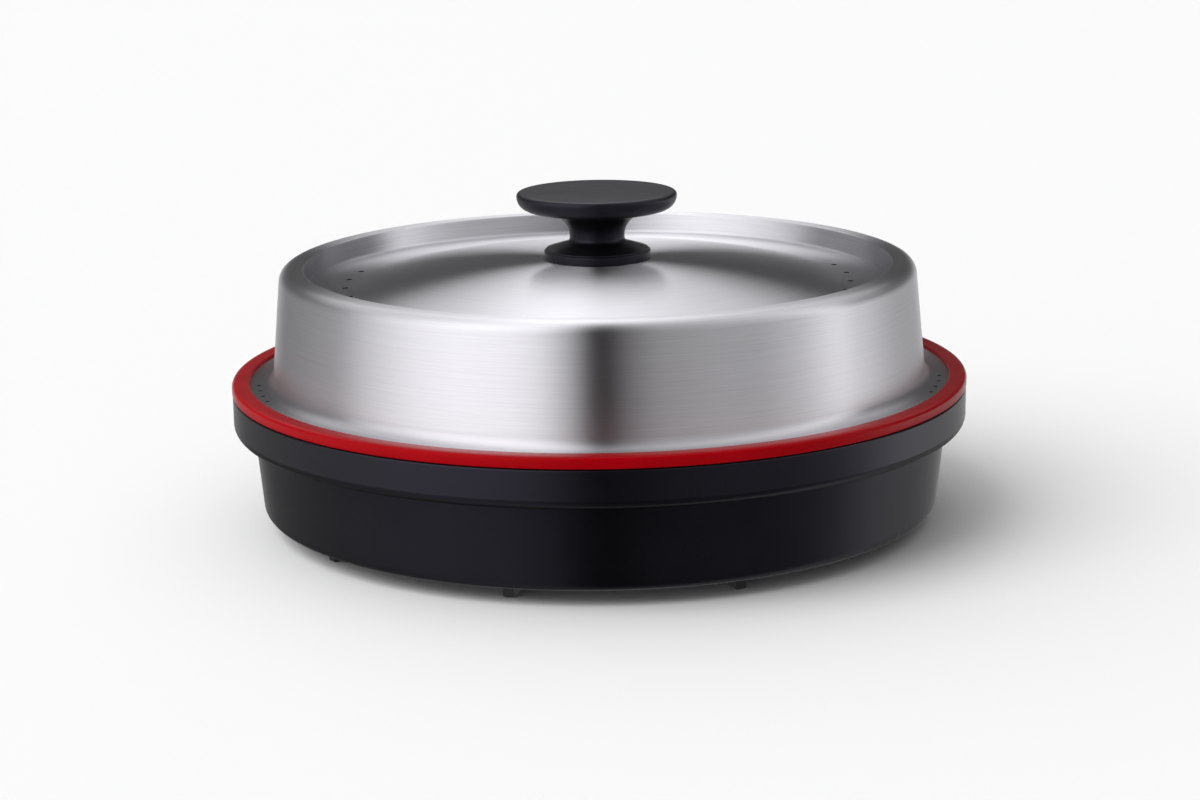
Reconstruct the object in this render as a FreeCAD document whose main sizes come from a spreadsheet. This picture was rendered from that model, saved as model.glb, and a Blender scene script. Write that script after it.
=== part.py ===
import FreeCAD, Part
import os
import re
import Sketcher

# Round electric griddle: a moulded base on nine feet holds a heating element on a reflector, a cast
# plate drops in above it, and a pressed steel lid with a silicone seal and a knob covers the plate.
# A detachable control plugs in at the back: two pins carry the current, and a tube takes its probe.
# Frame: +Z up, the origin on the resting surface under the centre, the inlet towards +Y. Millimetres.

SIZES = {
    # base shell
    "ring_rad": 150.0,          # outer radius of the lid's seal, the widest part
    "band_inset": 0.2,          # the band stands this far inside the seal
    "band_step": 8.15,          # the band overhangs the tub by this much
    "band_tall": 15.4,
    "band_wall": 2.8,
    "tub_tall": 34.0,
    "tub_draft": 3.15,          # the tub narrows by this much down to its floor
    "tub_wall": 2.6,
    "ledge_lean": 1.2,          # the wall leans in by this much below the ledge
    "tub_corner": 4.0,
    "band_corner": 3.8,
    "seat_drop": 3.4,           # from the band's top down to the ledge that carries the plate
    "seat_wide": 2.5,
    # feet
    "foot_tall": 6.2,
    "foot_deep": 6.5,
    "foot_wide": 4.2,
    "foot_inset": 11.0,         # from the tub's foot to a foot's outer face
    "foot_count": 9,
    "foot_start": -105.9,       # direction of the first foot
    "foot_bevel": 0.5,
    "stem_rad": 1.8,
    "stem_head": 2.8,
    "stem_cap": 1.4,
    "stem_gap": 0.2,
    # bottom cover
    "cover_rad": 77.0,
    "cover_thick": 1.6,
    "cover_lap": 9.0,
    "cover_gap": 0.3,
    "cover_boss": 2.8,          # height of its screw bosses above the lap
    "cover_screw_count": 4,
    "cover_screw_turn": 45,     # direction of the first one
    "slot_count": 12,
    "slot_long": 16.0,
    "slot_wide": 3.0,
    # screws and bosses
    "boss_rad": 4.0,
    "screw_rad": 1.45,
    "screw_hole": 1.5,
    "head_rad": 2.7,
    "head_tall": 1.8,
    "drive_wide": 0.8,
    "drive_share": 0.7,         # length of the cross as a share of its head
    "screw_short": 0.5,         # a reflector screw ends this far above the floor
    "screw_flush": 0.4,         # an inlet screw ends this far below its wall's face
    "over": 1.0,                # cuts and joined bosses run this far past a face
    # reflector
    "reflector_inset": 20.5,    # from the tub's foot to the reflector's rim
    "reflector_lift": 5.2,      # above the floor
    "reflector_rim": 2.8,
    "sheet": 0.8,
    "reflector_boss_inset": 14.0,
    "reflector_screw_count": 3,
    "reflector_screw_turn": 90,
    # heating element
    "element_rad": 88.0,        # radius of the ring's centre line
    "sheath_rad": 3.3,
    "lead_bend": 14.0,
    "pin_pitch": 25.4,
    "lead_run": 1.0,            # least straight length of a cold end
    "bracket_count": 3,
    "bracket_turn": 30,
    "bracket_wide": 10.0,
    "bracket_thick": 1.0,
    "bracket_reach": 15.0,
    "cradle_wall": 1.0,
    "cradle_gap": 0.2,
    "rivet_rad": 1.5,
    "rivet_head": 2.6,
    "rivet_tail": 2.2,
    "rivet_edge": 3.0,          # from the end of a strip
    "rivet_inset": 10.0,        # from the element's centre line
    "rivet_tall": 1.2,
    # terminals and inlet
    "pin_rad": 2.38,
    "pin_free": 13.5,           # length of a pin beyond its bush
    "shank_rad": 2.0,
    "pin_bevel": 0.7,
    "insulator_rad": 4.6,
    "insulator_flange": 5.8,
    "insulator_long": 13.0,
    "insulator_lip": 2.0,
    "insulator_back": 9.5,      # a bush starts this far inside the housing
    "slip": 0.02,
    "inlet_wide": 58.0,
    "inlet_tall": 17.0,
    "inlet_wall": 2.5,
    "inlet_clear": 1.5,         # between the reflector and the housing
    "inlet_deep": 21.7,
    "bezel_wall": 2.5,
    "bezel_lip": 1.0,           # the bezel stands out past the housing by this much
    "bezel_back": 3.3,          # the bezel reaches this far inside the tub's foot
    "inlet_gap": 0.2,
    "inlet_screw_half": 20.0,
    "inlet_screw_in": 8.5,
    "probe_slot": 6.2,
    "probe_drop": 1.0,          # the probe lies this much below the pins
    # probe tube and its sprung saddle
    "tube_rad": 4.2,
    "tube_bore": 3.4,
    "tube_reach": 2.0,          # the tube runs this far into the housing
    "tube_tip": 1.5,
    "saddle_from": 57.0,
    "saddle_long": 22.0,
    "saddle_half": 7.5,
    "saddle_stop": 2.0,         # metal left behind the tube's closed end
    "guide_inset": 2.0,
    "lug_half": 10.0,
    "lug_tall": 2.5,
    "saddle_under": 0.7,        # saddle below the tube
    "guide_gap": 0.3,
    "saddle_foot": 18.0,
    "leaf_thick": 0.5,
    "leaf_wide": 8.0,
    "leaf_long": 18.0,
    # griddle plate
    "plate_gap": 0.4,
    "plate_seat_gap": 0.2,
    "flange_thick": 3.0,
    "plate_deep": 18.0,         # from the flange's top down to the cooking surface
    "plate_thick": 4.2,
    "bowl_margin": 12.6,        # from the flange's edge in to the bowl
    "bowl_draft": 6.5,
    "bowl_wall": 3.2,
    "gutter_wide": 14.0,
    "gutter_deep": 1.6,
    "heat_half": 6.0,           # half the width of the raised ring over the element
    "heat_drop": 5.0,
    "heat_gap": 0.3,
    # lid
    "seal_gap": 0.2,
    "lip_tall": 2.2,            # seal below the lid's flange
    "seal_tall": 4.6,
    "seal_wide": 7.2,
    "seal_grip": 4.2,           # how far the flange runs into the seal
    "seal_slip": 0.05,
    "lid_foot_inset": 16.6,     # from the seal's edge to the foot of the lid's wall
    "lid_draft": 4.35,
    "lid_tall": 46.8,           # from the flange to the crest
    "land_wide": 9.65,
    "lid_corner": 5.0,
    "recess_deep": 8.7,
    "recess_draft": 1.2,
    "panel_wide": 18.0,         # flat ring around the dome
    "dome_rise": 9.4,
    "dome_flat": 24.0,
    "dome_blend": 40.0,
    "vent_rad": 1.35,
    "vent_count": 4,            # on each side
    "vent_inset": 15.4,         # from the recess's wall to the vents
    "vent_pitch": 10.5,
    "flange_vent_count": 4,
    "flange_vent_rad": 0.9,
    "flange_vent_inset": 11.0,
    "flange_vent_from": 7.1,
    "flange_vent_pitch": 4.1,
    # knob
    "collar_rad": 21.65,
    "collar_tall": 3.7,
    "knob_tall": 23.7,          # above the collar
    "knob_rad": 32.5,
    "shoulder_rad": 20.9,
    "shoulder_top_rad": 12.6,
    "shoulder_low": 0.5,        # heights above the collar
    "shoulder_high": 3.0,
    "waist_rad": 11.15,
    "waist_low": 4.9,
    "waist_high": 6.4,
    "waist_curve": 2.2,
    "neck_flare": 7.75,
    "neck_drop": 9.8,           # depths below the knob's top
    "neck_curve": 7.7,
    "under_inset": 5.1,
    "under_drop": 8.2,
    "under_curve": 6.5,
    "rim_inset": 1.2,
    "rim_drop": 2.4,
    "rim_curve": 1.9,
    "insert_rad": 4.0,
    "insert_long": 11.4,
    "insert_sunk": 0.1,
    "stud_rad": 2.5,
    "stud_hole_gap": 0.32,
    "collar_hole_gap": 0.2,
    "stud_head": 4.6,
    "stud_head_tall": 3.4,
    "stud_long": 14.0,
    "washer_rad": 8.0,
    "washer_thick": 1.2,
    # heights and radii that follow from the sizes above
    "floor_low": "foot_tall",
    "floor_top": "foot_tall + tub_wall",
    "band_low": "foot_tall + tub_tall",
    "band_top": "foot_tall + tub_tall + band_tall",
    "band_rad": "ring_rad - band_inset",
    "band_in": "ring_rad - band_inset - band_wall",
    "tub_rad": "ring_rad - band_inset - band_step",
    "tub_foot": "ring_rad - band_inset - band_step - tub_draft",
    "seat_top": "band_top - seat_drop",
    "ledge_in": "tub_rad - tub_wall + ledge_lean",
    "ledge_out": "ledge_in + seat_wide",
    "foot_out": "tub_foot - foot_inset",
    "foot_mid": "tub_foot - foot_inset - foot_deep / 2",
    "cover_screw_ring": "cover_rad - cover_lap / 2",
    "lap_top": "floor_low + cover_thick + cover_gap / 3 + tub_wall",
    "reflector_rad": "tub_foot - reflector_inset",
    "reflector_low": "floor_top + reflector_lift",
    "reflector_top": "reflector_low + sheet",
    "reflector_screw_ring": "reflector_rad - reflector_boss_inset",
    "flange_rad": "band_in - plate_gap",
    "flange_low": "seat_top + plate_seat_gap",
    "flange_top": "flange_low + flange_thick",
    "cook_top": "flange_top - plate_deep",
    "plate_low": "cook_top - plate_thick",
    "heat_low": "plate_low - heat_drop",
    "bowl_rad": "flange_rad - bowl_margin",
    "heat_mid": "heat_low - heat_gap - sheath_rad",
    "probe_mid": "heat_mid - probe_drop",
    "inlet_low": "heat_mid - probe_drop / 2 - inlet_tall / 2",
    "inlet_top": "inlet_low + inlet_tall",
    "lead_bend_x": "pin_pitch / 2 + lead_bend",
    "lead_bend_y": "sqrt((element_rad + lead_bend) ^ 2 - lead_bend_x ^ 2)",
    "inlet_inner": "max(reflector_rad + inlet_clear; lead_bend_y + lead_run + insulator_back)",
    "inlet_outer": "inlet_inner + inlet_deep",
    "inlet_screw_y": "inlet_inner + inlet_screw_in",
    "bezel_face": "inlet_outer + bezel_lip",
    "sheath_end": "inlet_inner - insulator_back",
    "tube_outer": "inlet_inner + tube_reach",
    "saddle_low": "probe_mid - tube_rad - saddle_under",
    "saddle_mid": "saddle_from + saddle_long / 2",
    "tube_inner": "saddle_from + saddle_stop",
    "rivet_ring": "element_rad - rivet_inset",
    "rivet_x": "saddle_foot - rivet_edge",
    "cradle_rad": "sheath_rad + cradle_gap + cradle_wall",
    "flange_z": "band_top + seal_gap + lip_tall",
    "skirt_z": "band_top + seal_gap + lip_tall + sheet",
    "crest_z": "skirt_z + lid_tall",
    "panel_z": "crest_z - recess_deep",
    "hub_z": "panel_z + dome_rise",
    "lid_foot": "ring_rad - lid_foot_inset",
    "lid_top": "lid_foot - lid_draft",
    "lid_edge": "ring_rad - seal_wide + seal_grip",
    "land_in": "lid_top - land_wide",
    "panel_rad": "land_in - recess_draft",
    "dome_rad": "panel_rad - panel_wide",
    "vent_ring": "panel_rad - vent_inset",
    "flange_vent_ring": "ring_rad - flange_vent_inset",
    "knob_low": "hub_z + collar_tall",
    "knob_top": "knob_low + knob_tall",
    "stud_seat": "hub_z - sheet - washer_thick",
}

NEAR = 0.01     # two places within this are the same

doc = FreeCAD.newDocument("ElectricGriddle")
sheet = doc.addObject("Spreadsheet::Sheet", "Sizes")
PIECES = []


def sized(text):
    """The expression with each size's name given the sheet it is read from."""
    return re.sub(r"[a-z_]+", lambda word: "Sizes." + word[0] if word[0] in SIZES else word[0], str(text))


for row, (alias, amount) in enumerate(SIZES.items(), start=1):
    sheet.set("A%d" % row, alias)
    sheet.set("B%d" % row, "=" + amount if isinstance(amount, str) else str(amount))
    sheet.setAlias("B%d" % row, alias)
doc.recompute()


def worth(text):
    """The number that an expression of the sizes gives."""
    return float(sheet.evalExpression(sized(text)))


def piece(name):
    """A body of its own for one separate piece."""
    body = doc.addObject("PartDesign::Body", name)
    body.Label = name
    PIECES.append(body)
    return body


def origin(body, role):
    return [feature for feature in body.Origin.OriginFeatures if feature.Role == role][0]


def pin_down(sketch, index, end, x, y):
    """Hold one point of a sketch at two expressions."""
    for kind, text, axis in (("DistanceX", x, -2), ("DistanceY", y, -1)):
        if text == "0":
            sketch.addConstraint(Sketcher.Constraint("PointOnObject", index, end, axis))
        else:
            made = sketch.addConstraint(Sketcher.Constraint(kind, -1, 1, index, end, worth(text)))
            sketch.setExpression("Constraints[%d]" % made, sized(text))


def outline(body, plane, corners):
    """A closed outline. A corner with a third value is reached by an arc of that radius, turning left
    where it is positive and right where it is negative."""
    sketch = body.newObject("Sketcher::SketchObject", body.Name + "_outline")
    sketch.AttachmentSupport = [(origin(body, plane), "")]
    sketch.MapMode = "FlatFace"
    spots = [FreeCAD.Vector(worth(corner[0]), worth(corner[1]), 0) for corner in corners]
    ends = []
    for index, corner in enumerate(corners):
        start = spots[index - 1]
        stop = spots[index]
        left = True
        if len(corner) == 3:
            radius = worth(corner[2])
            half = (stop - start) / 2
            across = FreeCAD.Vector(-half.y, half.x, 0).normalize()
            reach = (radius ** 2 - half.Length ** 2) ** 0.5
            side = 1 if radius > 0 else -1
            centre = start + half + across * reach * side
            middle = centre - across * abs(radius) * side
            sketch.addGeometry(Part.Arc(start, middle, stop), False)
            left = radius > 0
        else:
            sketch.addGeometry(Part.LineSegment(start, stop), False)
        ends.append((1, 2) if left else (2, 1))
    for index, corner in enumerate(corners):
        follower = (index + 1) % len(corners)
        joined = (index, ends[index][1], follower, ends[follower][0])
        sketch.addConstraint(Sketcher.Constraint("Coincident", *joined))
        pin_down(sketch, index, ends[index][1], corner[0], corner[1])
        if len(corner) == 3:
            made = sketch.addConstraint(Sketcher.Constraint("Radius", index, abs(worth(corner[2]))))
            sketch.setExpression("Constraints[%d]" % made, sized("abs(%s)" % corner[2]))
    return sketch


def turned(name, corners):
    """A piece turned about the vertical axis from half of its section."""
    body = piece(name)
    sketch = outline(body, "XZ_Plane", corners)
    turn = body.newObject("PartDesign::Revolution", name + "_turn")
    turn.Profile = sketch
    turn.ReferenceAxis = (sketch, ["V_Axis"])
    turn.Angle = 360
    doc.recompute()
    return body


def shaped(body, kind, sizes, low_corner, lying=False):
    """An added or cut box or cylinder: kind such as SubtractiveBox, sizes by property, and its place.
    A lying cylinder runs along +Y."""
    feature = body.newObject("PartDesign::" + kind, body.Name + "_" + kind)
    for size, text in sizes.items():
        feature.setExpression(size, sized(text))
    if lying:
        feature.Placement.Rotation = FreeCAD.Rotation(FreeCAD.Vector(1, 0, 0), -90)
    for axis, text in zip("xyz", low_corner):
        feature.setExpression("Placement.Base." + axis, sized(text))
    return feature


def cylinder(body, kind, radius, low, tall, x="0", y="0", lying=False):
    sizes = {"Radius": radius, "Height": tall}
    return shaped(body, kind + "Cylinder", sizes, (x, low, y) if lying else (x, y, low), lying)


def block(body, kind, xs, ys, zs):
    """A box between pairs of expressions along X, Y and Z."""
    sizes = {}
    for size, (low, high) in zip(("Length", "Width", "Height"), (xs, ys, zs)):
        sizes[size] = "(%s) - (%s)" % (high, low)
    return shaped(body, kind + "Box", sizes, (xs[0], ys[0], zs[0]))


def around(body, features, count):
    """Repeat features in equal steps about the vertical axis."""
    pattern = body.newObject("PartDesign::PolarPattern", body.Name + "_around")
    pattern.Originals = features
    pattern.Axis = (origin(body, "Z_Axis"), [""])
    pattern.Angle = 360
    pattern.setExpression("Occurrences", sized(count))
    body.Tip = pattern
    doc.recompute()


def mirrored(body, features):
    """Repeat features on the other side of the YZ plane."""
    mirror = body.newObject("PartDesign::Mirrored", body.Name + "_mirror")
    mirror.Originals = features
    mirror.MirrorPlane = (origin(body, "YZ_Plane"), [""])
    body.Tip = mirror
    doc.recompute()


def dressed(body, kind, size, text, chosen):
    """A Fillet or Chamfer on the edges that a test chooses."""
    doc.recompute()
    base = body.Tip
    names = ["Edge%d" % number for number, edge in enumerate(base.Shape.Edges, start=1) if chosen(edge)]
    if not names:
        raise RuntimeError("no edge to dress on " + body.Label)
    feature = body.newObject("PartDesign::" + kind, body.Name + "_" + kind)
    feature.Base = (base, names)
    feature.setExpression(size, sized(text))
    doc.recompute()


def rounded(body, radius, rings):
    """Fillet the full circles of these radii and heights."""
    spots = [(worth(ring), worth(height)) for ring, height in rings]

    def chosen(edge):
        curve = edge.Curve
        return isinstance(curve, Part.Circle) and any(
            abs(curve.Radius - ring) < NEAR and abs(curve.Center.z - height) < NEAR
            for ring, height in spots)

    dressed(body, "Fillet", "Radius", radius, chosen)


def spun(text_radius, text_angle):
    """X and Y of a point at a radius and a direction from +X in degrees."""
    return ["(%s) * %s(%s)" % (text_radius, wave, text_angle) for wave in ("cos", "sin")]


# Base shell: one moulding, with a tapered tub, a wider band and a ledge inside it for the plate.
shell = turned("base_shell", [
    ("cover_rad + cover_gap", "floor_low"),
    ("tub_foot", "floor_low"),
    ("tub_rad", "band_low"),
    ("band_rad", "band_low"),
    ("band_rad", "band_top"),
    ("band_in", "band_top"),
    ("band_in", "band_low + tub_wall"),
    ("ledge_out", "band_low + tub_wall"),
    ("ledge_out", "seat_top"),
    ("ledge_in", "seat_top"),
    ("tub_foot - tub_wall", "floor_top"),
    ("cover_rad + cover_gap + tub_wall", "floor_top"),
    ("cover_rad + cover_gap + tub_wall", "lap_top"),
    ("cover_rad - cover_lap", "lap_top"),
    ("cover_rad - cover_lap", "lap_top - tub_wall"),
    ("cover_rad + cover_gap", "lap_top - tub_wall"),
])
rounded(shell, "tub_corner", [("tub_foot", "floor_low")])
rounded(shell, "band_corner", [("band_rad", "band_low")])
rounded(shell, "band_wall / 4", [("band_rad", "band_top"), ("band_in", "band_top")])
rounded(shell, "tub_wall", [("tub_foot - tub_wall", "floor_top")])
block(shell, "Additive",
      ("-inlet_wide / 2 - bezel_wall", "inlet_wide / 2 + bezel_wall"),
      ("tub_foot - bezel_back", "bezel_face"),
      ("inlet_low - bezel_wall", "inlet_top + bezel_wall"))
block(shell, "Subtractive",
      ("-inlet_wide / 2 - inlet_gap", "inlet_wide / 2 + inlet_gap"),
      ("inlet_inner", "bezel_face + over"),
      ("inlet_low", "inlet_top + inlet_gap"))
posts = cylinder(shell, "Additive", "boss_rad", "lap_top - over", "cover_boss + over",
                 *spun("cover_screw_ring", "cover_screw_turn"))
wells = cylinder(shell, "Subtractive", "screw_hole", "floor_low", "lap_top + cover_boss - floor_low + over",
                 *spun("cover_screw_ring", "cover_screw_turn"))
around(shell, [posts, wells], "cover_screw_count")
posts = cylinder(shell, "Additive", "boss_rad", "floor_top - over", "reflector_lift + over",
                 *spun("reflector_screw_ring", "reflector_screw_turn"))
wells = cylinder(shell, "Subtractive", "screw_hole", "floor_top", "reflector_lift + over",
                 *spun("reflector_screw_ring", "reflector_screw_turn"))
around(shell, [posts, wells], "reflector_screw_count")
posts = cylinder(shell, "Additive", "boss_rad", "floor_top - over", "inlet_low - floor_top + over",
                 "inlet_screw_half", "inlet_screw_y")
wells = cylinder(shell, "Subtractive", "screw_hole", "floor_low - over", "inlet_low - floor_low + 2 * over",
                 "inlet_screw_half", "inlet_screw_y")
mirrored(shell, [posts, wells])
wells = cylinder(shell, "Subtractive", "stem_rad + slip", "floor_low - over", "tub_wall + 2 * over",
                 *spun("foot_mid", "foot_start"))
around(shell, [wells], "foot_count")

# Feet: soft blocks, each pulled by its mushroom stem into a hole in the floor.
for number in range(int(worth("foot_count"))):
    foot = piece("foot_%d" % (number + 1))
    block(foot, "Additive", ("foot_out - foot_deep", "foot_out"), ("-foot_wide / 2", "foot_wide / 2"),
          ("0", "foot_tall"))
    cylinder(foot, "Additive", "stem_rad", "foot_tall", "tub_wall + stem_gap", "foot_mid")
    cylinder(foot, "Additive", "stem_head", "floor_top + stem_gap", "stem_cap", "foot_mid")
    dressed(foot, "Chamfer", "Size", "foot_bevel", lambda edge: all(spot.Z < NEAR for spot in edge.Vertexes))
    foot.setExpression("Placement.Rotation.Angle", sized("foot_start + %d * 360 / foot_count" % number))

# Bottom cover: a steel disc let into the floor, with a ring of cooling slots.
cover = turned("bottom_cover", [
    ("0", "floor_low"),
    ("cover_rad", "floor_low"),
    ("cover_rad", "floor_low + cover_thick"),
    ("0", "floor_low + cover_thick"),
])
wells = cylinder(cover, "Subtractive", "screw_hole", "floor_low - over", "cover_thick + 2 * over",
                 *spun("cover_screw_ring", "cover_screw_turn"))
around(cover, [wells], "cover_screw_count")
slot = block(cover, "Subtractive", ("cover_rad / 2 - slot_long / 2", "cover_rad / 2 + slot_long / 2"),
             ("-slot_wide / 2", "slot_wide / 2"), ("floor_low - over", "floor_low + cover_thick + over"))
around(cover, [slot], "slot_count")


def screws(name, seat, long, x, y, repeat, upright=True):
    """Cross-head screws in one node: the head on a seat, and the shank running up or down from it."""
    body = piece(name)
    head_low = seat if upright else "%s - head_tall" % seat
    shank_low = "%s - %s" % (seat, long) if upright else seat
    face = "%s + head_tall" % seat if upright else head_low
    features = [cylinder(body, "Additive", "head_rad", head_low, "head_tall", x, y)]
    features.append(cylinder(body, "Additive", "screw_rad", shank_low, long, x, y))
    cross = ("head_rad * drive_share", "drive_wide / 2")
    for half_x, half_y in (cross, cross[::-1]):
        features.append(block(body, "Subtractive",
                              ("%s - %s" % (x, half_x), "%s + %s" % (x, half_x)),
                              ("%s - %s" % (y, half_y), "%s + %s" % (y, half_y)),
                              ("%s - head_tall / 2" % face, "%s + head_tall / 2" % face)))
    repeat(body, features)
    return body


screws("cover_screws", "floor_low", "(cover_thick + tub_wall + cover_boss)",
       *spun("cover_screw_ring", "cover_screw_turn"),
       lambda body, features: around(body, features, "cover_screw_count"), upright=False)
screws("reflector_screws", "reflector_top", "(reflector_lift - screw_short)",
       *spun("reflector_screw_ring", "reflector_screw_turn"),
       lambda body, features: around(body, features, "reflector_screw_count"))
screws("inlet_screws", "floor_low", "(inlet_low - floor_low + inlet_wall - screw_flush)", "inlet_screw_half",
       "inlet_screw_y", mirrored, upright=False)

# Heat reflector: a bright steel dish on three bosses, which carries the element's brackets.
reflector = turned("heat_reflector", [
    ("0", "reflector_low"),
    ("reflector_rad", "reflector_low"),
    ("reflector_rad", "reflector_low + reflector_rim"),
    ("reflector_rad - sheet", "reflector_low + reflector_rim"),
    ("reflector_rad - sheet", "reflector_top"),
    ("0", "reflector_top"),
])
rounded(reflector, "sheet * 2", [("reflector_rad", "reflector_low")])
rounded(reflector, "sheet", [("reflector_rad - sheet", "reflector_top")])
wells = cylinder(reflector, "Subtractive", "screw_hole", "reflector_low - over", "sheet + 2 * over",
                 *spun("reflector_screw_ring", "reflector_screw_turn"))
around(reflector, [wells], "reflector_screw_count")
wells = cylinder(reflector, "Subtractive", "rivet_rad + slip", "reflector_low - over", "sheet + 2 * over",
                 *spun("rivet_ring", "bracket_turn"))
around(reflector, [wells], "bracket_count")
wells = cylinder(reflector, "Subtractive", "rivet_rad + slip", "reflector_low - over", "sheet + 2 * over",
                 "rivet_x", "saddle_mid")
mirrored(reflector, [wells])

# Heating element: a sheathed ring, open at the back, where its cold ends turn out to the pins.
element = piece("heating_element")
path = element.newObject("Sketcher::SketchObject", "element_path")
path.AttachmentSupport = [(origin(element, "XY_Plane"), "")]
path.MapMode = "FlatFace"
path.setExpression("AttachmentOffset.Base.z", sized("heat_mid"))
half_pitch = worth("pin_pitch / 2")
bend = worth("lead_bend")
ring = worth("element_rad")
bend_mid = FreeCAD.Vector(worth("lead_bend_x"), worth("lead_bend_y"), 0)
meet = bend_mid * (ring / (ring + bend))
knee = FreeCAD.Vector(half_pitch, bend_mid.y, 0)
lead_end = FreeCAD.Vector(half_pitch, worth("sheath_end"), 0)
inner = bend_mid + ((meet + knee) / 2 - bend_mid).normalize() * bend


def opposite(spot):
    return FreeCAD.Vector(-spot.x, spot.y, 0)


path.addGeometry([
    Part.LineSegment(opposite(lead_end), opposite(knee)),
    Part.Arc(opposite(knee), opposite(inner), opposite(meet)),
    Part.Arc(opposite(meet), FreeCAD.Vector(0, -ring, 0), meet),
    Part.Arc(meet, inner, knee),
    Part.LineSegment(knee, lead_end),
], False)
doc.recompute()


def near_end(index, spot):
    return 1 if path.getPoint(index, 1).distanceToPoint(spot) < NEAR else 2


for first, second, spot in ((0, 1, opposite(knee)), (1, 2, opposite(meet)), (2, 3, meet), (3, 4, knee)):
    path.addConstraint(Sketcher.Constraint(
        "Tangent", first, near_end(first, spot), second, near_end(second, spot)))
path.addConstraint(Sketcher.Constraint("Vertical", 0))
path.addConstraint(Sketcher.Constraint("Vertical", 4))
path.addConstraint(Sketcher.Constraint("Coincident", 2, 3, -1, 1))
path.addConstraint(Sketcher.Constraint("Equal", 1, 3))
for index, text in ((2, "element_rad"), (1, "lead_bend")):
    made = path.addConstraint(Sketcher.Constraint("Radius", index, worth(text)))
    path.setExpression("Constraints[%d]" % made, sized(text))
pin_down(path, 0, 1, "-pin_pitch / 2", "sheath_end")
pin_down(path, 4, 2, "pin_pitch / 2", "sheath_end")
section = element.newObject("Sketcher::SketchObject", "element_section")
section.AttachmentSupport = [(origin(element, "XZ_Plane"), "")]
section.MapMode = "FlatFace"
section.setExpression("AttachmentOffset.Base.z", sized("-sheath_end"))
section.addGeometry(Part.Circle(FreeCAD.Vector(-half_pitch, worth("heat_mid"), 0),
                                FreeCAD.Vector(0, 0, 1), worth("sheath_rad")), False)
made = section.addConstraint(Sketcher.Constraint("Radius", 0, worth("sheath_rad")))
section.setExpression("Constraints[%d]" % made, sized("sheath_rad"))
pin_down(section, 0, 3, "-pin_pitch / 2", "heat_mid")
sheath = element.newObject("PartDesign::AdditivePipe", "element_sheath")
sheath.Profile = section
sheath.Spine = (path, [])
doc.recompute()

# Element brackets: three folded strips riveted to the reflector, each an open cradle for the ring.
for number in range(int(worth("bracket_count"))):
    bracket = piece("element_bracket_%d" % (number + 1))
    sides = ("-bracket_wide / 2", "bracket_wide / 2")
    block(bracket, "Additive", ("element_rad - bracket_reach", "element_rad + bracket_thick / 2"), sides,
          ("reflector_top", "reflector_top + bracket_thick"))
    block(bracket, "Additive", ("element_rad - bracket_thick / 2", "element_rad + bracket_thick / 2"), sides,
          ("reflector_top", "heat_mid - sheath_rad - cradle_gap"))
    cylinder(bracket, "Additive", "cradle_rad", "-bracket_wide / 2", "bracket_wide", "element_rad",
             "heat_mid", lying=True)
    cylinder(bracket, "Subtractive", "sheath_rad + cradle_gap", "-bracket_wide", "2 * bracket_wide",
             "element_rad", "heat_mid", lying=True)
    block(bracket, "Subtractive", ("element_rad - cradle_rad - over", "element_rad + cradle_rad + over"),
          ("-bracket_wide", "bracket_wide"), ("heat_mid + sheath_rad / 3", "heat_mid + cradle_rad + over"))
    cylinder(bracket, "Subtractive", "rivet_rad + slip", "reflector_top - over", "bracket_thick + 2 * over",
             "rivet_ring")
    bracket.setExpression("Placement.Rotation.Angle",
                          sized("bracket_turn + %d * 360 / bracket_count" % number))


def rivets(name, x, y, repeat):
    """Rivets in one node, through the bracket's foot and the reflector."""
    body = piece(name)
    features = [
        cylinder(body, "Additive", "rivet_rad", "reflector_low - rivet_tall",
                 "sheet + bracket_thick + rivet_tall * 2", x, y),
        cylinder(body, "Additive", "rivet_head", "reflector_top + bracket_thick", "rivet_tall", x, y),
        cylinder(body, "Additive", "rivet_tail", "reflector_low - rivet_tall", "rivet_tall", x, y),
    ]
    repeat(body, features)


rivets("bracket_rivets", *spun("rivet_ring", "bracket_turn"),
       lambda body, features: around(body, features, "bracket_count"))
rivets("saddle_rivets", "rivet_x", "saddle_mid", mirrored)

# Terminals: plated pins on the element's cold ends, each in a ceramic bush held by the inlet housing.
for side, sign in (("left", "-"), ("right", "")):
    pin = piece("terminal_pin_" + side)
    cylinder(pin, "Additive", "shank_rad", "sheath_end", "insulator_long", sign + "pin_pitch / 2",
             "heat_mid", lying=True)
    cylinder(pin, "Additive", "pin_rad", "sheath_end + insulator_long", "pin_free",
             sign + "pin_pitch / 2", "heat_mid", lying=True)
    tip_y = worth("sheath_end + insulator_long + pin_free") - NEAR
    dressed(pin, "Chamfer", "Size", "pin_bevel", lambda edge: all(spot.Y > tip_y for spot in edge.Vertexes))
    bush = piece("pin_insulator_" + side)
    cylinder(bush, "Additive", "insulator_rad", "sheath_end", "insulator_long", sign + "pin_pitch / 2",
             "heat_mid", lying=True)
    cylinder(bush, "Additive", "insulator_flange", "inlet_inner - insulator_lip", "insulator_lip",
             sign + "pin_pitch / 2", "heat_mid", lying=True)
    cylinder(bush, "Subtractive", "shank_rad + slip", "sheath_end - over", "insulator_long + 2 * over",
             sign + "pin_pitch / 2", "heat_mid", lying=True)

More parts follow.
